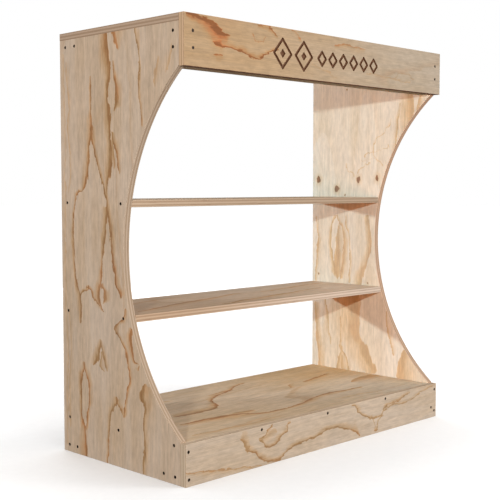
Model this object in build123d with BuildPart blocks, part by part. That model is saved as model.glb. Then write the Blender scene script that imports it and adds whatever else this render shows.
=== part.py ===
from build123d import *
import math
import os

# Open plywood display shelving unit: two side panels with a long concave cut in
# the front edge, a deck and two shelves between them, a top panel, a fascia
# board across the top front, a kick board across the bottom front, and four
# lengths of framing lumber at the corners, all held by countersunk wood screws.
#
# Frame: millimetres, +Z up, +X along the width, the front face at -Y.  The
# origin is the centre of the footprint, on the floor.

# ---------------------------------------------------------------- dimensions
overall_height = 1143.0
overall_width = 1066.0
overall_depth = 506.0

ply = 18.3
lumber_thick = 38.1
lumber_wide = 88.9

fascia_height = 126.0
kick_height = 106.0
shelf_pitch = 295.0

arc_radius = 586.0
arc_depth = 235.0
arc_centre_height = 564.0

edge_ease = 0.6

screw_length = 44.5
front_screw_length = 31.8
screw_head_radius = 4.2
screw_shank_radius = 2.0
screw_tip = 6.0
screw_sink = 0.8
drive_slot = 0.9
drive_span = 4.4
drive_depth = 1.5

groove_width = 8.0
groove_depth = 4.0
rosette_width = 66.0
rosette_height = 74.0
rosette_pitch = 83.0
lozenge_width = 32.0
lozenge_height = 36.0
lozenge_pitch = 45.5
lozenge_count = 6
motif_left = 344.0
motif_below_top = 66.0

# ------------------------------------------------------------ derived levels
front = -overall_depth / 2
back = overall_depth / 2
inner_front = front + ply
half_width = overall_width / 2
inner_half = half_width - ply
inner_width = 2 * inner_half
side_height = overall_height - ply
fascia_bottom = overall_height - fascia_height

deck_mid = kick_height - ply / 2
lower_shelf_mid = deck_mid + shelf_pitch
upper_shelf_mid = lower_shelf_mid + shelf_pitch

arc_centre_y = front + arc_depth - arc_radius
arc_half_chord = math.sqrt(arc_radius**2 - (inner_front - arc_centre_y) ** 2)


def arc_front(height):
    """Y of the concave front edge at a height above the floor."""
    rise = height - arc_centre_height
    return arc_centre_y + math.sqrt(arc_radius**2 - rise**2)


def side_screws(side, points):
    """Planes at the sunk screw heads on one side panel, facing outward."""
    x = side * (half_width - screw_sink)
    return [Plane(origin=(x, y, z), x_dir=(0, 1, 0), z_dir=(side, 0, 0)) for y, z in points]


def front_screws(points):
    """Planes at the sunk screw heads on the front boards, facing forward."""
    y = front + screw_sink
    return [Plane(origin=(x, y, z), x_dir=(1, 0, 0), z_dir=(0, -1, 0)) for x, z in points]


# ------------------------------------------------------------- screw layout
# (y, z) on the outer face of each side panel
top_front_points = [
    (front + 39.5, overall_height - 40.0),
    (front + 39.5, overall_height - 79.0),
]
top_rear_points = [
    (back - 66.0, overall_height - 38.4),
    (back - 25.0, overall_height - 38.4),
]
upper_shelf_points = [
    (arc_front(upper_shelf_mid) + 24.0, upper_shelf_mid),
    (back - 26.7, upper_shelf_mid),
]
lower_shelf_points = [
    (arc_front(lower_shelf_mid) + 30.0, lower_shelf_mid),
    (back - 26.8, lower_shelf_mid),
]
deck_points = [
    (front + 42.5, deck_mid),
    (front + 262.5, deck_mid),
    (back - 28.0, deck_mid),
]
base_front_points = [
    (front + 39.0, 19.0),
    (front + 82.0, 20.0),
]
base_rear_points = [
    (back - 61.5, 19.5),
    (back - 25.3, 19.5),
]

# (x, z) on the fascia and the kick board
fascia_points = [
    (-half_width + 29.0, overall_height - 41.5),
    (-half_width + 29.5, overall_height - 82.0),
    (half_width - 27.0, overall_height - 40.5),
    (half_width - 27.0, overall_height - 80.5),
]
kick_side_points = [
    (-half_width + 9.8, 86.5),
    (-half_width + 11.0, 17.5),
    (half_width - 9.5, 88.0),
    (half_width - 9.8, 20.5),
]
kick_rail_points = [(half_width - 27.0, 32.5)]
kick_deck_points = [
    (-overall_width / 4, deck_mid),
    (0.0, deck_mid),
    (overall_width / 4, deck_mid),
]

# (x, y) on the top panel: over the front rail and over the rear rail
top_front_rail_line = inner_front + lumber_thick / 2
top_rear_rail_line = back - lumber_wide / 2
top_points = [
    (x, y) for y in (top_front_rail_line, top_rear_rail_line) for x in (-380.0, 0.0, 380.0)
]
top_screw_planes = [Plane(origin=(x, y, overall_height - screw_sink)) for x, y in top_points]

all_side_points = (
    top_front_points
    + top_rear_points
    + upper_shelf_points
    + lower_shelf_points
    + deck_points
    + base_front_points
    + base_rear_points
)


# ------------------------------------------------------------------- panels
with BuildPart() as left_side_panel:
    with BuildSketch(Plane.YZ.offset(-half_width)):
        with BuildLine():
            Line((inner_front, 0), (inner_front, arc_centre_height - arc_half_chord))
            ThreePointArc(
                (inner_front, arc_centre_height - arc_half_chord),
                (front + arc_depth, arc_centre_height),
                (inner_front, arc_centre_height + arc_half_chord),
            )
            Polyline(
                (inner_front, arc_centre_height + arc_half_chord),
                (inner_front, side_height),
                (back, side_height),
                (back, 0),
                (inner_front, 0),
            )
        make_face()
    extrude(amount=ply)
    chamfer(left_side_panel.faces().filter_by(Axis.X).edges(), length=edge_ease)
    with Locations(*side_screws(-1, all_side_points)):
        CounterSinkHole(
            radius=screw_shank_radius,
            counter_sink_radius=screw_head_radius,
            depth=2 * ply,
            counter_sink_angle=90,
        )
    with Locations(*front_screws(kick_side_points)):
        Hole(radius=screw_shank_radius, depth=front_screw_length)

with BuildPart() as right_side_panel:
    with BuildSketch(Plane.YZ.offset(inner_half)):
        with BuildLine():
            Line((inner_front, 0), (inner_front, arc_centre_height - arc_half_chord))
            ThreePointArc(
                (inner_front, arc_centre_height - arc_half_chord),
                (front + arc_depth, arc_centre_height),
                (inner_front, arc_centre_height + arc_half_chord),
            )
            Polyline(
                (inner_front, arc_centre_height + arc_half_chord),
                (inner_front, side_height),
                (back, side_height),
                (back, 0),
                (inner_front, 0),
            )
        make_face()
    extrude(amount=ply)
    chamfer(right_side_panel.faces().filter_by(Axis.X).edges(), length=edge_ease)
    with Locations(*side_screws(1, all_side_points)):
        CounterSinkHole(
            radius=screw_shank_radius,
            counter_sink_radius=screw_head_radius,
            depth=2 * ply,
            counter_sink_angle=90,
        )
    with Locations(*front_screws(kick_side_points)):
        Hole(radius=screw_shank_radius, depth=front_screw_length)

# The top panel lies over the sides and stops behind the fascia.
with BuildPart() as top_panel:
    with BuildSketch(Plane.XY.offset(side_height)):
        with Locations((0, (inner_front + back) / 2)):
            Rectangle(overall_width, back - inner_front)
    extrude(amount=ply)
    chamfer(top_panel.faces().filter_by(Axis.Z).edges(), length=edge_ease)
    with Locations(*top_screw_planes):
        CounterSinkHole(
            radius=screw_shank_radius,
            counter_sink_radius=screw_head_radius,
            depth=2 * ply,
            counter_sink_angle=90,
        )

# The deck butts against the back of the kick board, flush with its top edge.
with BuildPart() as deck_panel:
    with BuildSketch(Plane.XY.offset(kick_height - ply)):
        with Locations((0, (inner_front + back) / 2)):
            Rectangle(inner_width, back - inner_front)
    extrude(amount=ply)
    chamfer(deck_panel.faces().filter_by(Axis.Z).edges(), length=edge_ease)
    with Locations(*side_screws(-1, deck_points), *side_screws(1, deck_points)):
        Hole(radius=screw_shank_radius, depth=screw_length)
    with Locations(*front_screws(kick_deck_points)):
        Hole(radius=screw_shank_radius, depth=front_screw_length)

# The shelves run from the back edge to the concave front edge.
with BuildPart() as lower_shelf:
    with BuildSketch(Plane.XY.offset(lower_shelf_mid - ply / 2)):
        with Locations((0, (arc_front(lower_shelf_mid) + back) / 2)):
            Rectangle(inner_width, back - arc_front(lower_shelf_mid))
    extrude(amount=ply)
    chamfer(lower_shelf.faces().filter_by(Axis.Z).edges(), length=edge_ease)
    with Locations(*side_screws(-1, lower_shelf_points), *side_screws(1, lower_shelf_points)):
        Hole(radius=screw_shank_radius, depth=screw_length)

with BuildPart() as upper_shelf:
    with BuildSketch(Plane.XY.offset(upper_shelf_mid - ply / 2)):
        with Locations((0, (arc_front(upper_shelf_mid) + back) / 2)):
            Rectangle(inner_width, back - arc_front(upper_shelf_mid))
    extrude(amount=ply)
    chamfer(upper_shelf.faces().filter_by(Axis.Z).edges(), length=edge_ease)
    with Locations(*side_screws(-1, upper_shelf_points), *side_screws(1, upper_shelf_points)):
        Hole(radius=screw_shank_radius, depth=screw_length)


# ------------------------------------------------------------- front boards
def lozenge(width, height, inset):
    """Corners of a lozenge whose sides are moved inward by the inset."""
    scale = 1 - inset * math.hypot(width, height) * 2 / (width * height)
    half_w = width / 2 * scale
    half_h = height / 2 * scale
    return [(half_w, 0), (0, half_h), (-half_w, 0), (0, -half_h)]


motif_row_start = motif_left + rosette_pitch * 1.5 + lozenge_width / 2 + 17.0
motif_height = overall_height - motif_below_top
rosette_spots = [(-half_width + motif_left + i * rosette_pitch, motif_height) for i in range(2)]
lozenge_spots = [
    (-half_width + motif_row_start + i * lozenge_pitch, motif_height) for i in range(lozenge_count)
]

with BuildPart() as fascia_board:
    with BuildSketch(Plane.XZ.offset(-inner_front)):
        with Locations((0, overall_height - fascia_height / 2)):
            Rectangle(overall_width, fascia_height)
    extrude(amount=ply)
    chamfer(fascia_board.faces().filter_by(Axis.Y).edges(), length=edge_ease)
    # routed ornament: two nested lozenges and a row of small ones
    with BuildSketch(Plane.XZ.offset(-front)):
        with Locations(*rosette_spots):
            Polygon(*lozenge(rosette_width, rosette_height, 0))
        with Locations(*lozenge_spots):
            Polygon(*lozenge(lozenge_width, lozenge_height, 0))
        offset(amount=groove_width / 2, kind=Kind.ARC)
        with Locations(*rosette_spots):
            Polygon(*lozenge(rosette_width, rosette_height, groove_width / 2), mode=Mode.SUBTRACT)
        with Locations(*lozenge_spots):
            Polygon(*lozenge(lozenge_width, lozenge_height, groove_width / 2), mode=Mode.SUBTRACT)
        with Locations(*rosette_spots):
            Polygon(*lozenge(rosette_width / 3, rosette_height / 3, 0))
    extrude(amount=-groove_depth, mode=Mode.SUBTRACT)
    with Locations(*front_screws(fascia_points)):
        CounterSinkHole(
            radius=screw_shank_radius,
            counter_sink_radius=screw_head_radius,
            depth=2 * ply,
            counter_sink_angle=90,
        )

with BuildPart() as kick_board:
    with BuildSketch(Plane.XZ.offset(-inner_front)):
        with Locations((0, kick_height / 2)):
            Rectangle(overall_width, kick_height)
    extrude(amount=ply)
    chamfer(kick_board.faces().filter_by(Axis.Y).edges(), length=edge_ease)
    with Locations(*front_screws(kick_side_points + kick_rail_points + kick_deck_points)):
        CounterSinkHole(
            radius=screw_shank_radius,
            counter_sink_radius=screw_head_radius,
            depth=2 * ply,
            counter_sink_angle=90,
        )


# ------------------------------------------------------------- lumber rails
# Stood on edge behind the fascia, ripped to end flush with its lower edge.
with BuildPart() as top_front_rail:
    with BuildSketch(Plane.YZ.offset(-inner_half)):
        with Locations((inner_front + lumber_thick / 2, (fascia_bottom + side_height) / 2)):
            Rectangle(lumber_thick, side_height - fascia_bottom)
    extrude(amount=inner_width)
    fillet(top_front_rail.edges().filter_by(Axis.X), radius=2.0)
    with Locations(*side_screws(-1, top_front_points), *side_screws(1, top_front_points)):
        Hole(radius=screw_shank_radius, depth=screw_length)
    with Locations(*front_screws(fascia_points)):
        Hole(radius=screw_shank_radius, depth=front_screw_length)
    with Locations(*top_screw_planes[:3]):
        Hole(radius=screw_shank_radius, depth=screw_length)

# Laid flat under the back of the top panel.
with BuildPart() as top_rear_rail:
    with BuildSketch(Plane.YZ.offset(-inner_half)):
        with Locations((back - lumber_wide / 2, side_height - lumber_thick / 2)):
            Rectangle(lumber_wide, lumber_thick)
    extrude(amount=inner_width)
    fillet(top_rear_rail.edges().filter_by(Axis.X), radius=3.0)
    with Locations(*side_screws(-1, top_rear_points), *side_screws(1, top_rear_points)):
        Hole(radius=screw_shank_radius, depth=screw_length)
    with Locations(*top_screw_planes[3:]):
        Hole(radius=screw_shank_radius, depth=screw_length)

# Laid flat on the floor behind the kick board and at the back.
with BuildPart() as base_front_rail:
    with BuildSketch(Plane.YZ.offset(-inner_half)):
        with Locations((inner_front + lumber_wide / 2, lumber_thick / 2)):
            Rectangle(lumber_wide, lumber_thick)
    extrude(amount=inner_width)
    fillet(base_front_rail.edges().filter_by(Axis.X), radius=3.0)
    with Locations(*side_screws(-1, base_front_points), *side_screws(1, base_front_points)):
        Hole(radius=screw_shank_radius, depth=screw_length)
    with Locations(*front_screws(kick_rail_points)):
        Hole(radius=screw_shank_radius, depth=front_screw_length)

with BuildPart() as base_rear_rail:
    with BuildSketch(Plane.YZ.offset(-inner_half)):
        with Locations((back - lumber_wide / 2, lumber_thick / 2)):
            Rectangle(lumber_wide, lumber_thick)
    extrude(amount=inner_width)
    fillet(base_rear_rail.edges().filter_by(Axis.X), radius=3.0)
    with Locations(*side_screws(-1, base_rear_points), *side_screws(1, base_rear_points)):
        Hole(radius=screw_shank_radius, depth=screw_length)


# ------------------------------------------------------------------- screws
def wood_screw(length):
    """Countersunk wood screw, its head on the XY plane, pointing along -Z."""
    neck = screw_head_radius - screw_shank_radius
    with BuildPart() as screw:
        with BuildSketch(Plane.XZ):
            with BuildLine():
                Polyline(
                    (0, 0),
                    (screw_head_radius, 0),
                    (screw_shank_radius, -neck),
                    (screw_shank_radius, screw_tip - length),
                    (0, -length),
                    (0, 0),
                )
            make_face()
        revolve(axis=Axis.Z)
        with BuildSketch(Plane.XY):
            Rectangle(drive_span, drive_slot)
            Rectangle(drive_slot, drive_span)
        extrude(amount=-drive_depth, mode=Mode.SUBTRACT)
    return screw.part


long_screw = wood_screw(screw_length)
short_screw = wood_screw(front_screw_length)

with BuildPart() as left_top_front_screws:
    with Locations(*side_screws(-1, top_front_points)):
        add(long_screw)

with BuildPart() as right_top_front_screws:
    with Locations(*side_screws(1, top_front_points)):
        add(long_screw)

with BuildPart() as left_top_rear_screws:
    with Locations(*side_screws(-1, top_rear_points)):
        add(long_screw)

with BuildPart() as right_top_rear_screws:
    with Locations(*side_screws(1, top_rear_points)):
        add(long_screw)

with BuildPart() as left_upper_shelf_screws:
    with Locations(*side_screws(-1, upper_shelf_points)):
        add(long_screw)

with BuildPart() as right_upper_shelf_screws:
    with Locations(*side_screws(1, upper_shelf_points)):
        add(long_screw)

with BuildPart() as left_lower_shelf_screws:
    with Locations(*side_screws(-1, lower_shelf_points)):
        add(long_screw)

with BuildPart() as right_lower_shelf_screws:
    with Locations(*side_screws(1, lower_shelf_points)):
        add(long_screw)

with BuildPart() as left_deck_screws:
    with Locations(*side_screws(-1, deck_points)):
        add(long_screw)

with BuildPart() as right_deck_screws:
    with Locations(*side_screws(1, deck_points)):
        add(long_screw)

with BuildPart() as left_base_front_screws:
    with Locations(*side_screws(-1, base_front_points)):
        add(long_screw)

with BuildPart() as right_base_front_screws:
    with Locations(*side_screws(1, base_front_points)):
        add(long_screw)

with BuildPart() as left_base_rear_screws:
    with Locations(*side_screws(-1, base_rear_points)):
        add(long_screw)

with BuildPart() as right_base_rear_screws:
    with Locations(*side_screws(1, base_rear_points)):
        add(long_screw)

with BuildPart() as fascia_screws:
    with Locations(*front_screws(fascia_points)):
        add(short_screw)

with BuildPart() as kick_end_screws:
    with Locations(*front_screws(kick_side_points + kick_rail_points)):
        add(short_screw)

with BuildPart() as kick_deck_screws:
    with Locations(*front_screws(kick_deck_points)):
        add(short_screw)

with BuildPart() as top_panel_screws:
    with Locations(*top_screw_planes):
        add(long_screw)


# ------------------------------------------------------------------- export
pieces = {
    "left_side_panel": left_side_panel,
    "right_side_panel": right_side_panel,
    "top_panel": top_panel,
    "fascia_board": fascia_board,
    "kick_board": kick_board,
    "deck_panel": deck_panel,
    "lower_shelf": lower_shelf,
    "upper_shelf": upper_shelf,
    "top_front_rail": top_front_rail,
    "top_rear_rail": top_rear_rail,
    "base_front_rail": base_front_rail,
    "base_rear_rail": base_rear_rail,
    "left_top_front_screws": left_top_front_screws,
    "right_top_front_screws": right_top_front_screws,
    "left_top_rear_screws": left_top_rear_screws,
    "right_top_rear_screws": right_top_rear_screws,
    "left_upper_shelf_screws": left_upper_shelf_screws,
    "right_upper_shelf_screws": right_upper_shelf_screws,
    "left_lower_shelf_screws": left_lower_shelf_screws,
    "right_lower_shelf_screws": right_lower_shelf_screws,
    "left_deck_screws": left_deck_screws,
    "right_deck_screws": right_deck_screws,
    "left_base_front_screws": left_base_front_screws,
    "right_base_front_screws": right_base_front_screws,
    "left_base_rear_screws": left_base_rear_screws,
    "right_base_rear_screws": right_base_rear_screws,
    "fascia_screws": fascia_screws,
    "kick_end_screws": kick_end_screws,
    "kick_deck_screws": kick_deck_screws,
    "top_panel_screws": top_panel_screws,
}

os.makedirs("parts", exist_ok=True)
for name, piece in pieces.items():
    piece.part.label = name
    export_step(piece.part, f"parts/{name}.step")
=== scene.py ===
import math

import bpy
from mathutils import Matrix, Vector


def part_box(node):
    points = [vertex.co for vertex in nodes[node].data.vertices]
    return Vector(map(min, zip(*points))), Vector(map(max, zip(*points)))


# Open display shelving unit of raw plywood. Every part is a CAD node of the frame,
# so this script gives each one its material, and adds the studio around them.
# Metres, +Z up, the front towards -Y.

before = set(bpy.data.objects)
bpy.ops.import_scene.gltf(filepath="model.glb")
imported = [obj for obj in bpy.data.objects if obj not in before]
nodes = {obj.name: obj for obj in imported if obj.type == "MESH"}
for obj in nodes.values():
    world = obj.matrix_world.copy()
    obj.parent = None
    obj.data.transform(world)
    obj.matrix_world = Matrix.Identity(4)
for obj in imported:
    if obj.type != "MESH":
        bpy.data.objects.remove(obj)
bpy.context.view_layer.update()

RAILS = ("top_front_rail", "top_rear_rail", "base_front_rail", "base_rear_rail")
AXES = {"X": 0, "Y": 1, "Z": 2}
MM = 1000.0
WHITE = (1.0, 1.0, 1.0)


# ---------------------------------------------------------------- node helper
class Net:
    """Short calls that add shader nodes and return their output sockets."""

    def __init__(self, name):
        self.material = bpy.data.materials.new(name)
        self.material.use_nodes = True
        self.tree = self.material.node_tree
        self.tree.nodes.clear()
        self.place = self.node("ShaderNodeTexCoord").outputs["Object"]
        self.normal = self.node("ShaderNodeNewGeometry").outputs["True Normal"]

    def node(self, kind, **settings):
        made = self.tree.nodes.new(kind)
        for key, value in settings.items():
            setattr(made, key, value)
        return made

    def put(self, socket, value):
        """Link a socket to another, or set its value."""
        if isinstance(value, bpy.types.NodeSocket):
            self.tree.links.new(value, socket)
        elif value is not None:
            socket.default_value = value

    def math(self, operation, a, b=None, clamp=False):
        made = self.node("ShaderNodeMath", operation=operation, use_clamp=clamp)
        self.put(made.inputs[0], a)
        self.put(made.inputs[1], b)
        return made.outputs[0]

    def add(self, a, b):
        return self.math("ADD", a, b)

    def sub(self, a, b):
        return self.math("SUBTRACT", a, b)

    def mul(self, a, b):
        return self.math("MULTIPLY", a, b)

    def top(self, a, b):
        """The larger of two values."""
        return self.math("MAXIMUM", a, b)

    def over(self, value, limit):
        """1 where a value is over a limit, and 0 elsewhere."""
        return self.math("GREATER_THAN", value, limit)

    def size_over(self, value, limit):
        return self.over(self.math("ABSOLUTE", value), limit)

    def ramp(self, value, start, end, to_start=0.0, to_end=1.0):
        """Smooth step of a value from one range to another."""
        made = self.node("ShaderNodeMapRange", interpolation_type="SMOOTHSTEP")
        for i, v in enumerate((value, start, end, to_start, to_end)):
            self.put(made.inputs[i], v)
        return made.outputs[0]

    def split(self, vector, kind="XYZ"):
        made = self.node("ShaderNodeSeparate" + kind)
        self.put(made.inputs[0], vector)
        return made.outputs[:]

    def join(self, x, y, z, kind="XYZ"):
        made = self.node("ShaderNodeCombine" + kind)
        for socket, value in zip(made.inputs, (x, y, z)):
            self.put(socket, value)
        return made.outputs[0]

    def noise(self, u, v, w, su, sv, detail=2.0, rough=0.5):
        """Noise of about 0 to 1, su and sv cells per metre along and across the grain."""
        where = self.join(self.mul(u, su), self.mul(v, sv), w)
        made = self.node("ShaderNodeTexNoise")
        self.put(made.inputs["Vector"], where)
        self.put(made.inputs["Scale"], 1.0)
        self.put(made.inputs["Detail"], detail)
        self.put(made.inputs["Roughness"], rough)
        return made.outputs["Fac"]

    def around_zero(self, noise):
        return self.sub(noise, 0.5)

    def blend(self, factor, a, b, kind="MIX"):
        made = self.node("ShaderNodeMix", data_type="RGBA", blend_type=kind)
        self.put(made.inputs["Factor"], factor)
        for socket, value in ((made.inputs[6], a), (made.inputs[7], b)):
            self.put(socket, (*value, 1.0) if isinstance(value, tuple) else value)
        return made.outputs[2]

    def darken(self, colour, tone):
        """Colour times a grey tone."""
        return self.blend(1.0, colour, self.join(tone, tone, tone, "Color"), "MULTIPLY")

    def dye(self, colour, tint):
        return self.blend(1.0, colour, tint, "MULTIPLY")

    def shade(self, colour, roughness, height, bump, specular, metallic=0.0):
        relief = self.node("ShaderNodeBump")
        relief.inputs["Strength"].default_value = 1.0
        relief.inputs["Distance"].default_value = bump
        self.put(relief.inputs["Height"], height)
        shader = self.node("ShaderNodeBsdfPrincipled")
        self.put(shader.inputs["Base Color"], colour)
        self.put(shader.inputs["Roughness"], roughness)
        shader.inputs["Specular IOR Level"].default_value = specular
        shader.inputs["Metallic"].default_value = metallic
        self.put(shader.inputs["Normal"], relief.outputs[0])
        self.put(self.node("ShaderNodeOutputMaterial").inputs[0], shader.outputs[0])
        return self.material


# ------------------------------------------------------------- wood colours
PALE = (0.640, 0.500, 0.360)
TAN = (0.560, 0.400, 0.240)
GREY = (0.520, 0.430, 0.330)
ORANGE = (0.550, 0.345, 0.170)
LATE = (0.450, 0.225, 0.085)
OLIVE = (0.370, 0.220, 0.090)
CORE = (0.310, 0.155, 0.058)
RED_CORE = (0.280, 0.105, 0.030)
KNOT = (0.200, 0.080, 0.030)
LONG_GRAIN = (0.620, 0.480, 0.340)
END_GRAIN = (0.470, 0.335, 0.220)
SMUDGE = (0.36, 0.31, 0.26)
RUST, DEEP_RUST = (0.62, 0.235, 0.085), (0.47, 0.22, 0.085)
BROWN = (0.50, 0.215, 0.075)

# ------------------------------------------------ one drawn line and one knot
WIDEST = 40.0    # mm, the widest half width that a line may have
FADE_OUT = 7     # mm beyond its last point, where a line has run out
NEAR_END = 8     # mm, a point nearer than this to the board's end runs off it


def streak(net, u, v, size, points, side=1, strength=1.0):
    """One latewood line, drawn as (along, across, half width) in mm.

    It is sharp on one side and fades on the other, as a growth ring does."""
    length, breadth = (s * MM for s in size)
    place = net.join(u, u, u, "Color")
    curves = net.node("ShaderNodeRGBCurve")
    net.put(curves.inputs["Color"], place)
    shown = sorted(points)
    if shown[0][0] > NEAR_END:
        shown.insert(0, (shown[0][0] - FADE_OUT, shown[0][1], 0))
    if shown[-1][0] < length - NEAR_END:
        shown.append((shown[-1][0] + FADE_OUT, shown[-1][1], 0))
    lines = [(along / length, across / breadth) for along, across, _ in shown]
    widths = [(along / length, half / WIDEST) for along, _, half in shown]
    for channel, values in enumerate((lines, widths)):
        curve = curves.mapping.curves[channel]
        for x, y in values[1:-1]:
            curve.points.new(x, y)
        curve.points[0].location = values[0]
        curve.points[len(curve.points) - 1].location = values[-1]
    curves.mapping.extend = "HORIZONTAL"
    curves.mapping.update()
    line, wide, _ = net.split(curves.outputs[0], "Color")
    wide = net.mul(wide, WIDEST)
    gap = net.mul(net.sub(v, line), side * breadth)
    near = net.math("DIVIDE", gap, net.add(net.mul(wide, 1.3), 1.0))
    haze = net.mul(net.ramp(near, -3.2, -0.2), 0.5)
    body = net.add(haze, net.mul(net.ramp(near, -0.5, 0.35), 0.5))
    sharp_edge = net.ramp(near, 0.55, 0.85, 1.0, 0.0)
    seen = net.ramp(wide, 0.15, 1.2, 0.0, strength)
    return net.mul(net.mul(body, sharp_edge), seen)


def knot(net, u, v, size, along, across, ru, rv):
    """Dark knot with a paler rim, its place and radii in mm: (knot, halo)."""
    du = net.mul(net.sub(u, along / size[0] / MM), size[0] * MM / ru)
    dv = net.mul(net.sub(v, across / size[1] / MM), size[1] * MM / rv)
    far = net.math("SQRT", net.add(net.mul(du, du), net.mul(dv, dv)))
    return net.ramp(far, 0.75, 1.15, 1.0, 0.0), net.ramp(far, 0.9, 2.6, 1.0, 0.0)


# ------------------------------------------------------------------- plywood
def drawn_figure(net, u, v, size, faces):
    """All drawn marks: (lines, knots, halos). faces pairs a mask with its marks."""
    lines, knots, halos = 0.0, 0.0, 0.0
    for gate, marks in faces:
        here = 0.0
        for mark in marks:
            if mark[0] == "knot":
                k, h = knot(net, u, v, size, *mark[1:])
                knots = net.top(knots, net.mul(k, gate))
                halos = net.top(halos, net.mul(h, gate))
            else:
                points, side, strength = mark
                here = net.top(here, streak(net, u, v, size, points, side, strength))
        if marks:
            lines = net.top(lines, net.mul(here, gate))
    return lines, knots, halos


def ply_edge(net, place, t, um, vm, along_grain, seed, edging):
    """A board's edge: five plies, the grain of each turned a quarter from the next.

    Gives its colour and, for the bump, the height of its fibres."""
    sway = net.mul(net.around_zero(net.noise(um, vm, net.add(t, seed), 7, 7, 2.0)), 0.07)
    level = net.add(t, sway)
    ply = net.mul(net.ramp(level, 0.12, 0.17), net.ramp(level, 0.35, 0.40, 1.0, 0.0))
    upper_ply = net.mul(net.ramp(level, 0.60, 0.65), net.ramp(level, 0.83, 0.88, 1.0, 0.0))
    ply = net.top(ply, upper_ply)
    turned = net.size_over(along_grain, 0.7)
    endwise = net.math("ABSOLUTE", net.sub(ply, turned))
    run = net.add(net.add(place[0], place[1]), place[2])
    pith = net.noise(run, level, seed, 260, 9, 3.0, 0.7)
    rays = net.noise(run, level, seed + 9.0, 45, 26, 2.0, 0.6)
    edge = net.blend(endwise, LONG_GRAIN, END_GRAIN)
    edge = net.darken(edge, net.add(0.78, net.add(net.mul(pith, 0.26), net.mul(rays, 0.24))))
    void = net.ramp(net.noise(run, level, seed + 15.0, 11, 6, 1.0), 0.67, 0.7)
    edge = net.blend(net.mul(net.mul(void, endwise), 0.5), edge, KNOT)
    return net.dye(edge, edging), pith


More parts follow.
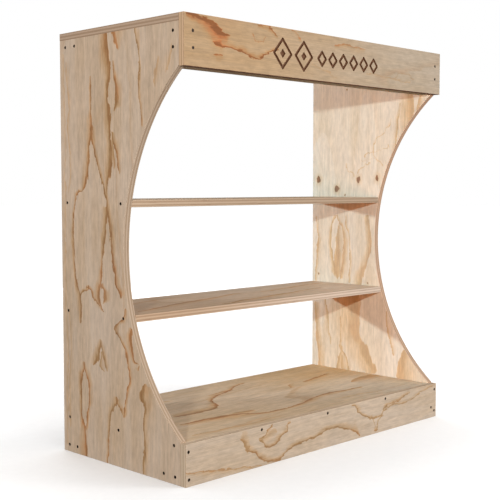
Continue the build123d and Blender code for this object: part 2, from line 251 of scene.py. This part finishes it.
def plywood(node, thin, grain, seed, front=(), back=(), tint=WHITE, tint_back=None, pale=0.5,
            rings=5.0, lines=0.6, vivid=0.6, strong=0.9, core=CORE, ring_tones=(LATE, OLIVE),
            edging=WHITE, extra=None):
    """Raw softwood plywood: veneer faces across the thin axis, ply layers on every edge.

    front and back list the drawn marks of the faces at the low and the high end
    of the thin axis. rings and lines set how many unplanned rings there are and how
    dark, strong and vivid how deep the drawn ones are, and extra adds to the colour."""
    net = Net("plywood_" + node)
    lo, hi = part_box(node)
    cross = ({"X", "Y", "Z"} - {thin, grain}).pop()
    it, ig, ic = AXES[thin], AXES[grain], AXES[cross]
    size = (hi[ig] - lo[ig], hi[ic] - lo[ic])
    place, normal = net.split(net.place), net.split(net.normal)
    u = net.mul(net.sub(place[ig], lo[ig]), 1 / size[0])
    v = net.mul(net.sub(place[ic], lo[ic]), 1 / size[1])
    t = net.mul(net.sub(place[it], lo[it]), 1 / (hi[it] - lo[it]))
    um, vm = net.mul(u, size[0]), net.mul(v, size[1])
    other = net.over(t, 0.5)
    deep = net.add(net.mul(other, 7.7), seed)

    # ragged shift of the ring lines
    rag = net.around_zero(net.noise(um, vm, deep, 14, 42, 2.0, 0.6))
    fine = net.around_zero(net.noise(um, vm, net.add(deep, 3.1), 60, 190, 2.0, 0.65))
    lift = net.around_zero(net.noise(um, vm, net.add(deep, 5.3), 28, 60, 2.0, 0.6))
    shift = net.add(net.mul(rag, 0.024), net.mul(fine, 0.010))
    vs = net.add(v, net.mul(shift, 1 / size[1]))
    us = net.add(u, net.mul(lift, 0.022 / size[0]))

    # soft, unplanned growth rings under the drawn ones
    field = net.noise(net.mul(us, size[0]), net.mul(vs, size[1]), deep, 1.1, 4.6, 1.0, 0.4)
    ring = net.math("FRACT", net.mul(field, rings))
    slow = net.mul(net.math("POWER", ring, 3.0), 0.8)
    line = net.mul(net.ramp(ring, 0.84, 0.95), net.ramp(ring, 0.965, 0.995, 1.0, 0.0))
    patch = net.ramp(net.noise(um, vm, net.add(deep, 11.0), 2.2, 7.0, 1.0), 0.42, 0.62)
    line = net.mul(net.mul(line, patch), lines)

    faces = ((net.sub(1.0, other), front), (other, back))
    drawn, dark, halo = drawn_figure(net, us, vs, size, faces)

    # veneer: blotches and bands, the rings over them, then fibres, mottling and pores
    fibre = net.noise(um, vm, net.add(deep, 20.0), 9, 420, 3.0, 0.7)
    bands = net.noise(um, vm, net.add(deep, 30.0), 1.4, 26, 3.0, 0.6)
    blotch = net.noise(um, vm, net.add(deep, 40.0), 3.0, 5.0, 2.0, 0.5)
    speck = net.noise(um, vm, net.add(deep, 50.0), 70, 900, 2.0, 0.6)
    face = net.blend(net.ramp(blotch, 0.3, 0.7, pale - 0.3, pale + 0.3), TAN, PALE)
    face = net.blend(net.ramp(bands, 0.36, 0.72, 0.0, 0.42), face, GREY)
    face = net.blend(net.mul(slow, 0.42), face, TAN)
    hue = net.ramp(net.noise(um, vm, net.add(deep, 60.0), 5, 12, 1.0), 0.35, 0.65)
    late = net.blend(hue, *ring_tones)
    wood = net.blend(net.mul(line, 0.75), face, late)
    worn = net.noise(um, vm, net.add(deep, 70.0), 18, 60, 3.0, 0.65)
    drawn = net.mul(drawn, net.add(0.62, net.mul(worn, 0.7)))
    wood = net.blend(net.ramp(drawn, 0.02, 0.5, 0.0, 0.75), wood, ORANGE)
    wood = net.blend(net.ramp(drawn, 0.3, 0.68, 0.0, strong), wood, late)
    wood = net.blend(net.ramp(drawn, 0.6, 0.95, 0.0, vivid), wood, core)
    if halo != 0.0:
        wood = net.blend(net.mul(halo, 0.5), wood, ORANGE)
        wood = net.blend(net.mul(dark, 0.92), wood, KNOT)
    mottle = net.noise(um, vm, net.add(deep, 80.0), 30, 95, 3.0, 0.6)
    tone = net.mul(net.around_zero(fibre), 0.70)
    tone = net.add(tone, net.mul(net.around_zero(bands), 0.46))
    tone = net.add(tone, net.mul(net.around_zero(mottle), 0.56))
    pores = net.ramp(speck, 0.66, 0.8, 0.0, 0.22)
    wood = net.darken(wood, net.sub(net.add(1.0, tone), pores))
    if tint_back:
        tint = net.blend(other, tint, tint_back)
    wood = net.dye(wood, tint)

    edge, pith = ply_edge(net, place, t, um, vm, normal[ig], seed, edging)
    on_face = net.size_over(normal[it], 0.8)
    colour = net.blend(on_face, edge, wood)

    # grey handling marks over everything
    rubbed = net.noise(place[0], place[1], place[2], 3.5, 3.5, 4.0, 0.6)
    colour = net.blend(net.ramp(rubbed, 0.5, 0.85, 0.0, 0.25), colour, SMUDGE)
    if extra:
        colour = extra(net, place, normal, colour)

    relief = net.mul(net.add(net.mul(fibre, 0.5), net.mul(line, 0.5)), on_face)
    relief = net.add(relief, net.mul(pith, net.sub(1.0, on_face)))
    matt = net.add(net.mul(fibre, 0.6), net.mul(blotch, 0.4))
    return net.shade(colour, net.ramp(matt, 0.3, 0.7, 0.62, 0.86), relief, 0.0004, 0.3)


# --------------------------------------------------------- lumber and screws
def lumber(node, grain, seed):
    """Planed framing lumber: long straight grain, rings on the sawn ends."""
    net = Net("lumber_" + node)
    lo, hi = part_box(node)
    ig = AXES[grain]
    ia, ib = [i for i in range(3) if i != ig]
    place, normal = net.split(net.place), net.split(net.normal)
    u = net.sub(place[ig], lo[ig])
    a, b = net.sub(place[ia], lo[ia]), net.sub(place[ib], lo[ib])
    wave = net.around_zero(net.noise(u, seed, seed, 2.2, 1, 2.0))
    pith_a = net.sub(a, (hi[ia] - lo[ia]) * 0.4)
    pith_b = net.add(net.add(b, 0.05), net.mul(wave, 0.03))
    radius = net.math("SQRT", net.add(net.mul(pith_a, pith_a), net.mul(pith_b, pith_b)))
    ragged = net.around_zero(net.noise(u, net.add(a, b), seed, 6, 60, 2.0))
    ring = net.math("FRACT", net.add(net.mul(radius, 210.0), net.mul(ragged, 0.7)))
    late = net.mul(net.ramp(ring, 0.3, 0.95), net.ramp(ring, 0.95, 1.0, 1.0, 0.0))
    fibre = net.noise(u, net.add(a, b), seed, 8, 700, 3.0, 0.7)
    wood = net.blend(net.mul(late, 0.6), (0.66, 0.49, 0.30), (0.47, 0.27, 0.12))
    on_end = net.size_over(normal[ig], 0.7)
    wood = net.blend(net.mul(on_end, 0.45), wood, END_GRAIN)
    wood = net.darken(wood, net.add(0.85, net.mul(fibre, 0.3)))
    rubbed = net.noise(place[0], place[1], place[2], 4, 4, 3.0)
    wood = net.blend(net.ramp(rubbed, 0.5, 0.8, 0.0, 0.3), wood, (0.36, 0.30, 0.24))
    relief = net.add(net.mul(fibre, 0.5), net.mul(late, 0.3))
    return net.shade(wood, net.ramp(fibre, 0.2, 0.8, 0.55, 0.75), relief, 0.0003, 0.3)


def screw_metal():
    """Dark phosphate-coated steel with a little wood dust in it."""
    net = Net("dark_screw")
    place = net.split(net.place)
    grit = net.noise(place[0], place[1], place[2], 900, 900, 3.0)
    dust = net.ramp(net.noise(place[0], place[2], place[1], 400, 400, 2.0), 0.55, 0.7, 0.0, 0.45)
    colour = net.blend(grit, (0.020, 0.014, 0.010), (0.075, 0.048, 0.032))
    colour = net.blend(dust, colour, (0.22, 0.14, 0.08))
    return net.shade(colour, net.ramp(grit, 0.2, 0.8, 0.35, 0.65), grit, 0.0001, 0.5, 0.6)


# ---------------------------------------------- drawn figure of each face
# A line is (points, the side that is sharp, strength). A knot is ("knot", along,
# across, radius along, radius across). Both are in mm.
UNIT_TOP = 1143.0         # mm above the floor
PANEL_BREADTH = 487.7     # mm, a side panel from its front edge to its back


def from_top_and_back(marks):
    """Side panel marks, turned to mm above the floor and mm behind the front edge.

    A line's points are drawn as mm below the unit's top and mm from the back edge.
    A knot is given the turned way already."""
    turned = []
    for mark in marks:
        if mark[0] != "knot":
            points, side, strength = mark
            points = [(UNIT_TOP - down, PANEL_BREADTH - back, half) for down, back, half in points]
            mark = (points, side, strength)
        turned.append(mark)
    return turned


LEFT_OUTER = from_top_and_back([
    ([(20, 200, 9), (67, 203, 11), (120, 212, 8), (173, 208, 5), (220, 213, 9), (287, 215, 6),
      (333, 220, 10), (373, 215, 8), (427, 203, 5), (455, 202, 0)], -1, 1.0),
    ([(17, 243, 14), (40, 248, 9), (60, 252, 5), (72, 252, 0)], 1, 0.8),
    ([(98, 233, 2), (133, 241, 5), (173, 250, 8), (205, 247, 8), (222, 234, 0)], 1, 0.9),
    ([(280, 229, 3), (300, 237, 5), (327, 248, 5), (360, 253, 4), (388, 257, 0)], 1, 0.9),
    ([(290, 226, 3), (320, 228, 6), (350, 232, 5), (375, 230, 0)], -1, 0.6),
    ([(16, 325, 5), (53, 333, 3), (107, 337, 2), (160, 339, 3), (200, 342, 2), (240, 345, 2),
      (282, 347, 0)], 1, 0.85),
    ([(130, 138, 2), (200, 137, 3), (265, 136, 8), (300, 128, 6), (360, 120, 6), (400, 110, 6),
      (421, 100, 6), (428, 79, 6), (443, 66, 3), (480, 56, 2.5), (533, 53, 2.5), (600, 56, 2.5),
      (640, 59, 3), (683, 67, 4), (707, 79, 6), (740, 83, 6), (795, 81, 0)], -1, 0.9),
    ([(262, 139, 6), (307, 148, 4), (343, 160, 3), (380, 175, 3), (413, 189, 3), (440, 200, 5),
      (460, 205, 5), (500, 212, 5), (547, 219, 5), (593, 227, 4), (640, 235, 5), (670, 243, 6),
      (687, 256, 6), (704, 260, 0)], 1, 0.95),
    ([(470, 200, 6), (513, 195, 6), (560, 188, 5), (600, 181, 4), (647, 175, 5), (680, 163, 7),
      (707, 160, 6), (733, 175, 6), (745, 190, 0)], -1, 0.9),
    ([(683, 117, 6), (690, 102, 6), (700, 88, 6), (712, 80, 0)], -1, 0.9),
    ([(683, 117, 6), (688, 134, 6), (705, 144, 5), (718, 157, 5), (730, 165, 0)], 1, 0.9),
    ([(673, 178, 4), (687, 193, 6), (707, 195, 6), (722, 182, 0)], 1, 0.8),
    ([(822, 170, 4), (847, 160, 7), (873, 150, 8), (898, 138, 0)], -1, 0.85),
    ([(827, 172, 4), (853, 183, 5), (880, 193, 5), (900, 199, 0)], 1, 0.8),
    ([(857, 175, 6), (885, 170, 8), (908, 184, 0)], 1, 0.6),
    ([(735, 277, 3), (753, 270, 4), (767, 250, 5), (780, 235, 5), (793, 243, 4), (810, 260, 4),
      (833, 275, 3), (867, 288, 3), (900, 293, 3), (933, 285, 3), (967, 277, 3), (993, 272, 4),
      (1015, 268, 0)], 1, 0.9),
    ([(967, 239, 6), (983, 253, 5), (1000, 262, 4), (1015, 268, 0)], 1, 0.8),
    ([(967, 239, 6), (985, 226, 5), (1007, 212, 4), (1040, 205, 3), (1080, 201, 3),
      (1135, 197, 3)], -1, 0.85),
    ([(780, 297, 4), (800, 293, 7), (833, 303, 6), (860, 313, 5), (873, 327, 5),
      (868, 335, 0)], -1, 0.85),
    ([(893, 97, 4), (920, 85, 4), (960, 79, 3), (1000, 81, 4), (1040, 87, 4), (1073, 93, 6),
      (1138, 95, 11)], -1, 0.9),
    ([(893, 97, 4), (920, 110, 5), (953, 121, 6), (987, 120, 5), (1020, 110, 4), (1053, 105, 4),
      (1080, 100, 0)], 1, 0.85),
    ([(918, 353, 14), (947, 345, 14), (967, 356, 9), (1000, 352, 5), (1040, 353, 5), (1080, 352, 5),
      (1135, 347, 6)], 1, 0.85),
    ([(80, 28, 4), (200, 40, 4), (267, 37, 4), (333, 43, 4), (400, 40, 4), (442, 26, 0)], 1, 0.4),
    ([(60, 12, 3), (300, 18, 4), (600, 12, 4), (900, 20, 3), (1120, 14, 3)], -1, 0.35),
    ([(750, 30, 2), (833, 40, 3), (933, 30, 3), (1070, 30, 2)], 1, 0.4),
    ([(100, 410, 3), (140, 402, 8), (160, 395, 2)], 1, 0.45),
    ([(80, 460, 3), (110, 448, 9), (135, 440, 2)], -1, 0.4),
])

RIGHT_INNER = from_top_and_back([
    ([(110, 406, 8), (127, 406, 16), (187, 405, 17), (240, 404, 14), (300, 400, 4)], -1, 0.85),
    ([(513, 240, 5), (553, 246, 5), (600, 250, 5), (640, 243, 7), (680, 228, 9), (707, 214, 12),
      (745, 206, 12)], -1, 0.9),
    ([(513, 112, 2), (553, 137, 3), (600, 143, 4), (640, 141, 5), (680, 136, 5),
      (723, 129, 2)], 1, 1.0),
    ([(513, 105, 2), (547, 86, 3), (587, 82, 3), (627, 86, 4), (667, 93, 4), (707, 103, 5),
      (723, 112, 2)], -1, 1.0),
    ([(632, 118, 8), (670, 115, 17), (710, 115, 12), (725, 116, 0)], 1, 0.75),
    ([(520, 147, 2), (567, 159, 2), (620, 166, 2), (667, 170, 2), (730, 166, 2)], 1, 0.75),
    ([(760, 180, 28), (800, 180, 34), (867, 180, 34), (913, 187, 30), (947, 213, 30),
      (993, 240, 26), (1030, 266, 18)], -1, 0.85),
    ([(860, 127, 1.5), (900, 128, 1.5), (962, 128, 2)], 1, 0.9),
    ([(965, 134, 3), (993, 153, 3), (1036, 166, 4)], -1, 1.0),
    ([(965, 134, 3), (993, 124, 3), (1036, 113, 4)], 1, 1.0),
    ([(985, 137, 3), (1010, 138, 10), (1036, 140, 14)], 1, 0.75),
    ([(820, 16, 6), (900, 23, 7), (967, 30, 8), (1036, 40, 9)], 1, 0.85),
    ([(947, 400, 10), (987, 390, 18), (1036, 386, 24)], 1, 0.85),
    ([(280, 323, 2), (290, 305, 2), (322, 274, 2), (327, 250, 2), (316, 228, 2), (326, 208, 2),
      (360, 200, 2)], 1, 0.75),
    ([(370, 178, 2), (360, 160, 2), (335, 148, 2)], 1, 0.55),
    ([(60, 452, 3), (120, 448, 6), (180, 440, 8), (240, 436, 3)], 1, 0.7),
    ([(150, 368, 2), (210, 360, 4), (270, 352, 5), (330, 350, 2)], -1, 0.6),
    ([(200, 330, 1), (240, 300, 2), (262, 270, 2), (300, 262, 2), (345, 300, 1)], -1, 0.5),
    ([(540, 120, 3), (600, 116, 12), (660, 118, 14), (700, 122, 4)], 1, 0.6),
    ([(520, 18, 2), (580, 26, 3), (650, 24, 4), (735, 14, 3)], 1, 0.7),
    ([(770, 330, 3), (840, 325, 6), (900, 335, 6), (960, 352, 3)], 1, 0.6),
    ([(780, 60, 3), (840, 64, 4), (900, 72, 4), (950, 84, 2)], -1, 0.6),
    ("knot", 758, 210, 11, 9),
    ("knot", 753, 286, 11, 9),
    ("knot", 721, 381, 10, 9),
    ("knot", 754, 461, 12, 10),
    ("knot", 704, 346, 3, 3),
    ("knot", 428, 460, 4, 4),
    ("knot", 410, 245, 3, 3),
    ("knot", 1056, 340, 3, 3),
])

# The far side, in the manner of the near side.
RIGHT_OUTER = from_top_and_back([
    ([(16, 150, 5), (120, 158, 7), (240, 150, 9), (360, 162, 7), (470, 150, 4),
      (560, 156, 2)], 1, 0.9),
    ([(16, 168, 3), (140, 180, 5), (260, 184, 8), (350, 176, 4), (420, 166, 2)], 1, 0.8),
    ([(200, 84, 2), (300, 74, 4), (420, 60, 6), (540, 66, 7), (660, 88, 6),
      (740, 110, 3)], -1, 0.9),
    ([(330, 96, 2), (440, 118, 4), (540, 124, 6), (640, 112, 6), (740, 110, 3)], 1, 0.9),
    ([(450, 92, 3), (520, 90, 10), (600, 96, 8), (650, 100, 2)], 1, 0.8),
    ([(620, 210, 2), (720, 196, 5), (830, 214, 7), (930, 240, 6), (1030, 246, 5),
      (1135, 250, 4)], -1, 0.9),
    ([(700, 160, 2), (800, 150, 5), (900, 158, 7), (1010, 150, 6), (1135, 144, 5)], 1, 0.85),
    ([(840, 340, 3), (900, 330, 6), (980, 344, 8), (1060, 352, 6), (1135, 350, 4)], 1, 0.85),
    ([(30, 392, 4), (90, 384, 7), (150, 372, 3)], -1, 0.8),
    ("knot", 318, 262, 10, 7),
])

# Fascia and kick board: mm from the left end, mm above the board's lower edge.
FASCIA_FRONT = [
    ([(15, 121, 3), (55, 114, 8), (85, 102, 14), (110, 88, 17), (130, 81, 12),
      (150, 86, 2)], 1, 1.1),
    ([(100, 64, 4), (115, 66, 9), (130, 60, 6), (150, 60, 4), (180, 54, 4), (200, 50, 4),
      (237, 42, 4), (260, 46, 2), (285, 54, 2), (325, 68, 1.5)], -1, 1.0),
    ([(232, 96, 1.5), (240, 83, 1.5), (270, 82, 1.5), (280, 96, 1)], -1, 0.6),
    ([(255, 123, 2), (285, 121, 2), (305, 116, 3), (318, 106, 3), (330, 104, 0)], 1, 0.8),
    ([(385, 121, 2), (400, 114, 3), (410, 101, 2)], 1, 0.6),
    ([(560, 101, 2), (600, 104, 4), (640, 102, 4), (680, 104, 3), (700, 102, 0)], 1, 0.6),
    ([(700, 36, 1), (830, 31, 1.5), (850, 46, 1.5), (870, 54, 1.5), (900, 51, 1.5),
      (925, 34, 1.5)], 1, 0.4),
    ([(830, 29, 1.5), (870, 26, 1.5), (910, 28, 1.5)], -1, 0.4),
    ([(460, 41, 1.5), (500, 31, 1.5), (540, 21, 1.5), (560, 14, 1.5)], 1, 0.35),
    ([(98, 31, 1), (104, 31, 4), (112, 31, 5), (120, 31, 4), (126, 31, 1)], 1, 0.8),
]

KICK_FRONT = [
    ([(190, 88, 2), (196, 86, 10), (203, 76, 22), (210, 68, 20), (218, 58, 8)], -1, 0.7),
    ([(218, 51, 3), (255, 28, 3), (300, 11, 3), (330, 6, 4), (352, 13, 3), (372, 26, 3),
      (415, 35, 3), (470, 40, 3), (510, 46, 3), (565, 52, 3.5), (597, 48, 4), (640, 34, 5),
      (665, 21, 9), (672, 11, 8), (678, 6, 0)], -1, 0.85),
    ([(262, 71, 2), (285, 88, 3), (300, 98, 3), (306, 103, 2)], 1, 0.85),
    ([(262, 68, 3), (278, 54, 4), (292, 48, 4), (320, 56, 4), (350, 72, 4), (365, 84, 3),
      (375, 98, 3)], -1, 0.85),
    ([(268, 68, 6), (285, 71, 12), (300, 76, 14), (320, 81, 5)], 1, 0.4),
    ([(645, 101, 3), (660, 88, 4), (675, 76, 5), (692, 61, 3), (720, 52, 2), (745, 48, 2),
      (775, 50, 2.5), (795, 70, 3), (830, 78, 3), (860, 81, 2), (890, 90, 2),
      (918, 96, 2)], -1, 0.8),
    ([(790, 64, 2), (850, 74, 3), (900, 70, 3), (930, 78, 2), (960, 86, 2), (1000, 94, 2),
      (1040, 100, 2)], -1, 0.6),
    ([(735, 51, 2), (742, 40, 3), (748, 25, 3), (752, 11, 4)], -1, 0.75),
    ([(752, 11, 4), (760, 26, 3), (770, 38, 2), (783, 48, 2)], -1, 0.75),
    ([(0, 38, 2), (55, 28, 2.5), (105, 21, 2.5), (160, 14, 2.5), (215, 8, 2), (260, 3, 2)], 1, 0.6),
]

# Deck and lower shelf: mm from the left end, mm behind the front edge.
DECK_TOP = [
    ([(165, 226, 6), (193, 222, 12), (250, 222, 12), (302, 224, 10), (330, 246, 12), (350, 268, 10),
      (362, 300, 8), (385, 318, 6), (418, 338, 6), (450, 352, 6), (514, 372, 6), (540, 391, 5),
      (617, 417, 3)], -1, 0.9),
    ([(110, 143, 4), (193, 137, 12), (260, 128, 15), (310, 118, 14), (340, 96, 8), (380, 83, 6),
      (480, 83, 5), (580, 103, 6), (680, 126, 7), (760, 118, 5), (830, 118, 4)], 1, 0.9),
    ([(300, 140, 4), (330, 130, 10), (362, 124, 4)], 1, 0.7),
    ([(669, 263, 4), (690, 282, 7), (720, 301, 3)], 1, 0.6),
    ([(771, 295, 6), (830, 308, 6), (900, 322, 6), (926, 333, 4)], 1, 0.8),
    ([(418, 359, 4), (450, 366, 6), (500, 368, 4)], 1, 0.7),
    ([(60, 40, 3), (160, 30, 6), (260, 22, 5), (360, 30, 3)], 1, 0.5),
    ([(650, 60, 3), (760, 50, 6), (850, 40, 5), (960, 46, 3)], -1, 0.4),
    ([(880, 185, 10), (950, 190, 32), (1020, 185, 40)], 1, 0.6),
    ([(20, 300, 4), (120, 306, 8), (200, 300, 4)], -1, 0.5),
    ([(30, 380, 4), (160, 392, 8), (280, 384, 4)], 1, 0.5),
]

LOWER_SHELF_TOP = [
    ([(60, 60, 4), (160, 84, 10), (280, 120, 12), (420, 150, 8), (560, 190, 5)], 1, 0.6),
    ([(330, 20, 3), (450, 46, 9), (600, 70, 12), (740, 100, 8), (860, 120, 4)], 1, 0.6),
    ([(640, 170, 3), (760, 190, 8), (880, 214, 8), (990, 222, 4)], -1, 0.55),
    ([(120, 200, 3), (240, 226, 7), (360, 236, 4)], 1, 0.5),
]


# -------------------------------------------- what some boards have besides
FASCIA_FRONT_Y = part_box("fascia_board")[0].y
MOTIF_LEFT, MOTIF_RIGHT = -0.232, 0.224
MOTIF_LOW, MOTIF_HIGH = 1.034, 1.120
GROOVE_FACE, GROOVE_FLOOR = 0.0008, 0.0060
BURNT = (0.300, 0.135, 0.055)
BURNT_FLOOR = (0.150, 0.060, 0.025)
CHAR = (0.24, 0.115, 0.05)
# painted shade for the fascia's downward face
PAINTED_UNDER_SHADE = (0.200, 0.070, 0.028)


def scorch_and_painted_shade(net, place, normal, colour):
    """The fascia's finish: the routed ornament is browned by the cutters, and the veneer turns
    from orange to grey along the board. Its downward face is painted dark brown as shade under the
    board."""
    depth = net.sub(place[1], FASCIA_FRONT_Y)
    inside = net.ramp(depth, GROOVE_FACE, GROOVE_FACE + 0.0005)
    inside = net.mul(inside, net.math("LESS_THAN", depth, GROOVE_FLOOR))
    for axis, start, end in ((0, MOTIF_LEFT, MOTIF_RIGHT), (2, MOTIF_LOW, MOTIF_HIGH)):
        inside = net.mul(inside, net.over(place[axis], start))
        inside = net.mul(inside, net.math("LESS_THAN", place[axis], end))
    char = net.noise(place[0], place[2], 3.3, 120, 120, 3.0, 0.6)
    burnt = net.blend(net.size_over(normal[1], 0.7), BURNT, BURNT_FLOOR)
    burnt = net.blend(net.ramp(char, 0.45, 0.75, 0.0, 0.6), burnt, CHAR)
    along = net.ramp(place[0], -0.45, 0.45)
    stain = net.blend(along, (0.92, 0.80, 0.66), (0.80, 0.81, 0.84))
    colour = net.blend(inside, net.dye(colour, stain), burnt)
    # painted shade: downward faces of the fascia are coloured dark brown in place of the shade
    # beneath the board
    under = net.math("LESS_THAN", normal[2], -0.7)
    return net.blend(net.mul(under, 0.95), colour, PAINTED_UNDER_SHADE)


def deck_heartwood(net, place, normal, colour):
    """The deck turns pale at its front right corner and orange behind it."""
    stain = net.blend(net.ramp(place[1], -0.15, 0.15), (1.06, 1.15, 1.28), (1.00, 0.90, 0.70))
    stain = net.blend(net.ramp(place[0], -0.05, 0.40), WHITE, stain)
    return net.blend(net.over(normal[2], 0.8), colour, stain, "MULTIPLY")


def shelf_painted_shade_and_light(net, place, normal, colour):
    """Painted shade and light: the lower shelf is darker at its left end, standing in for the left
    panel's shadow, and paler towards its right, standing in for light.
    """
    along = net.ramp(place[0], -0.45, 0.40)
    return net.dye(colour, net.blend(along, (0.78, 0.69, 0.62), (1.12, 1.14, 1.24)))


# ------------------------------------------------------------------ materials
materials = {
    "left_side_panel": plywood(
        "left_side_panel", "X", "Z", 1.0, front=LEFT_OUTER, tint=(1.08, 1.05, 1.09), pale=0.55,
        rings=5.0, lines=0.25, vivid=0.85, ring_tones=(BROWN, OLIVE), edging=(0.92, 0.88, 0.88),
    ),
    "right_side_panel": plywood(
        "right_side_panel", "X", "Z", 2.0, front=RIGHT_INNER, back=RIGHT_OUTER,
        tint=(1.05, 1.11, 1.17), tint_back=(1.12, 1.02, 0.98), pale=0.8,
        rings=4.0, lines=0.15, vivid=0.1, strong=0.5, edging=(1.08, 1.00, 0.96),
    ),
    "top_panel": plywood("top_panel", "Z", "X", 3.0, rings=6.0, edging=(0.86, 0.78, 0.76)),
    # the fascia's extra also paints shade on its downward face
    "fascia_board": plywood(
        "fascia_board", "Y", "X", 4.0, front=FASCIA_FRONT, rings=4.0, lines=0.3, vivid=0.85,
        core=RED_CORE, ring_tones=(RUST, DEEP_RUST), edging=(1.2, 1.2, 1.25), extra=scorch_and_painted_shade,
    ),
    "kick_board": plywood(
        "kick_board", "Y", "X", 5.0, front=KICK_FRONT, tint=(1.02, 1.02, 1.08), pale=0.65,
        rings=4.0, lines=0.25, edging=(1.1, 1.1, 1.1),
    ),
    "deck_panel": plywood(
        "deck_panel", "Z", "X", 6.0, back=DECK_TOP, pale=0.4, rings=5.0, lines=0.5, vivid=0.7,
        core=RED_CORE, extra=deck_heartwood,
    ),
    # the lower shelf's extra paints shade at its left end and light towards its right
    "lower_shelf": plywood(
        "lower_shelf", "Z", "X", 7.0, back=LOWER_SHELF_TOP, rings=4.0, lines=0.35,
        edging=(1.05, 1.05, 1.08), extra=shelf_painted_shade_and_light,
    ),
    "upper_shelf": plywood(
        "upper_shelf", "Z", "X", 8.0, rings=4.0, lines=0.35, edging=(0.76, 0.71, 0.69),
    ),
}
for i, name in enumerate(RAILS):
    materials[name] = lumber(name, "X", 2.0 + i)
metal = screw_metal()
for name, part in nodes.items():
    part.material_slots[0].material = materials.get(name, metal)


# --------------------------------------------------------------------- floor
def add_to_scene(name, data):
    made = bpy.data.objects.new(name, data)
    bpy.context.scene.collection.objects.link(made)
    return made


FLOOR_REACH = 30.0
FLOOR_CORNERS = ((-1, -1), (1, -1), (1, 1), (-1, 1))

mesh = bpy.data.meshes.new("studio_floor")
corners = [(x * FLOOR_REACH, y * FLOOR_REACH, 0) for x, y in FLOOR_CORNERS]
mesh.from_pydata(corners, [], [(0, 1, 2, 3)])
floor = add_to_scene("studio_floor", mesh)
net = Net("studio_paper")
place = net.split(net.place)
grit = net.noise(place[0], place[1], 0.0, 40, 40, 2.0)
paper = net.blend(grit, (0.90, 0.90, 0.90), (0.94, 0.94, 0.94))
mesh.materials.append(net.shade(paper, 0.9, grit, 0.0001, 0.1))
floor.visible_diffuse = False
floor.visible_glossy = False

# -------------------------------------------------------------------- camera
EYE = Vector((-2.1107, -2.0280, 0.7312))
TURN, DIP = math.radians(45.40), math.radians(3.664)
LENS, SENSOR = 71.51, 36.0

across = math.cos(DIP)
aim = Vector((math.sin(TURN) * across, math.cos(TURN) * across, -math.sin(DIP)))
view = bpy.data.cameras.new("camera")
view.sensor_width = SENSOR
view.lens = LENS
view.clip_end = 100.0
camera = add_to_scene("camera", view)
camera.location = EYE
camera.rotation_euler = aim.to_track_quat("-Z", "Y").to_euler()
bpy.context.scene.camera = camera


# -------------------------------------------------------------------- lights
def lit(name, *parts):
    """The only parts that a light reaches: a collection for light linking."""
    group = bpy.data.collections.new(name)
    for part in parts:
        group.objects.link(part)
    return group


def lit_nodes(name, *names):
    return lit(name, *(nodes[n] for n in names))


def soft_box(name, place, target, size, watts, receivers=None, tint=WHITE):
    """A round soft light, aimed at a target."""
    lamp = bpy.data.lights.new(name, "AREA")
    lamp.shape = "DISK"
    lamp.size = size
    lamp.energy = watts
    lamp.color = tint
    made = add_to_scene(name, lamp)
    made.location = place
    made.rotation_euler = (Vector(target) - Vector(place)).to_track_quat("-Z", "Y").to_euler()
    if receivers:
        made.light_linking.receiver_collection = receivers


inner = lit_nodes("lit_by_keys", "right_side_panel")
boards = lit_nodes("lit_from_the_front", "deck_panel", "lower_shelf", "upper_shelf", *RAILS)
outer = lit_nodes(
    "lit_by_soft_boxes", "left_side_panel", "fascia_board", "kick_board", "top_panel"
)
MIDDLE = (0.45, 0.0, 0.55)
KEY_FRONT, KEY_REAR = (-3.0, -1.777, 1.106), (-3.0, 1.462, 0.891)
COOL, WARM = (0.62, 0.83, 0.95), (1.0, 0.36, 0.15)

# two small keys from the left throw the crossed shadows under the shelves
soft_box("key_front", KEY_FRONT, MIDDLE, 0.07, 92, inner, COOL)
soft_box("key_rear", KEY_REAR, MIDDLE, 0.07, 92, inner, COOL)
soft_box("glow", (-2.2, -1.6, 0.25), MIDDLE, 1.6, 60, inner, WARM)
soft_box("key_boards", (-1.9, -2.5, 2.3), MIDDLE, 0.3, 76, boards)
soft_box("boards_front", KEY_FRONT, MIDDLE, 0.2, 60, boards)
soft_box("boards_rear", KEY_REAR, MIDDLE, 0.2, 60, boards)

# large fills for the outside faces
soft_box("fill_front", (-0.6, -4.2, 0.9), (0, -0.2, 0.5), 1.6, 84, outer)
soft_box("fill_left", (-4.2, -0.4, 1.2), (-0.5, 0, 0.6), 2.6, 100, outer)
soft_box("fill_top", (0.0, 0.0, 3.6), (0, 0, 1.1), 2.4, 45, outer)
soft_box("fill_right", (2.3, -3.4, 1.4), (0.3, 0, 0.5), 1.6, 70)
soft_box("fill_far_side", (4.2, 0.6, 1.2), (0.5, 0, 0.6), 2.6, 85, inner)
soft_box("fill_back", (1.6, 4.0, 1.0), (0, 0, 0.6), 2.6, 45)

# an even wash for the floor alone
lamp = bpy.data.lights.new("floor_wash", "SUN")
lamp.energy = 3.2
lamp.angle = math.radians(150)
wash = add_to_scene("floor_wash", lamp)
wash.light_linking.receiver_collection = lit("lit_by_wash", floor)


# --------------------------------------------------------------------- world
LIGHTING, BACKDROP = 0.12, 1.0


def background(tree, strength):
    made = tree.nodes.new("ShaderNodeBackground")
    made.inputs["Color"].default_value = (*WHITE, 1)
    made.inputs["Strength"].default_value = strength
    return made.outputs[0]


world = bpy.data.worlds.new("studio")
world.use_nodes = True
tree = world.node_tree
tree.nodes.clear()
ray = tree.nodes.new("ShaderNodeLightPath")
mix = tree.nodes.new("ShaderNodeMixShader")
tree.links.new(ray.outputs["Is Camera Ray"], mix.inputs["Fac"])
tree.links.new(background(tree, LIGHTING), mix.inputs[1])
tree.links.new(background(tree, BACKDROP), mix.inputs[2])
tree.links.new(mix.outputs[0], tree.nodes.new("ShaderNodeOutputWorld").inputs[0])
bpy.context.scene.world = world
bpy.context.scene.view_settings.view_transform = "Standard"
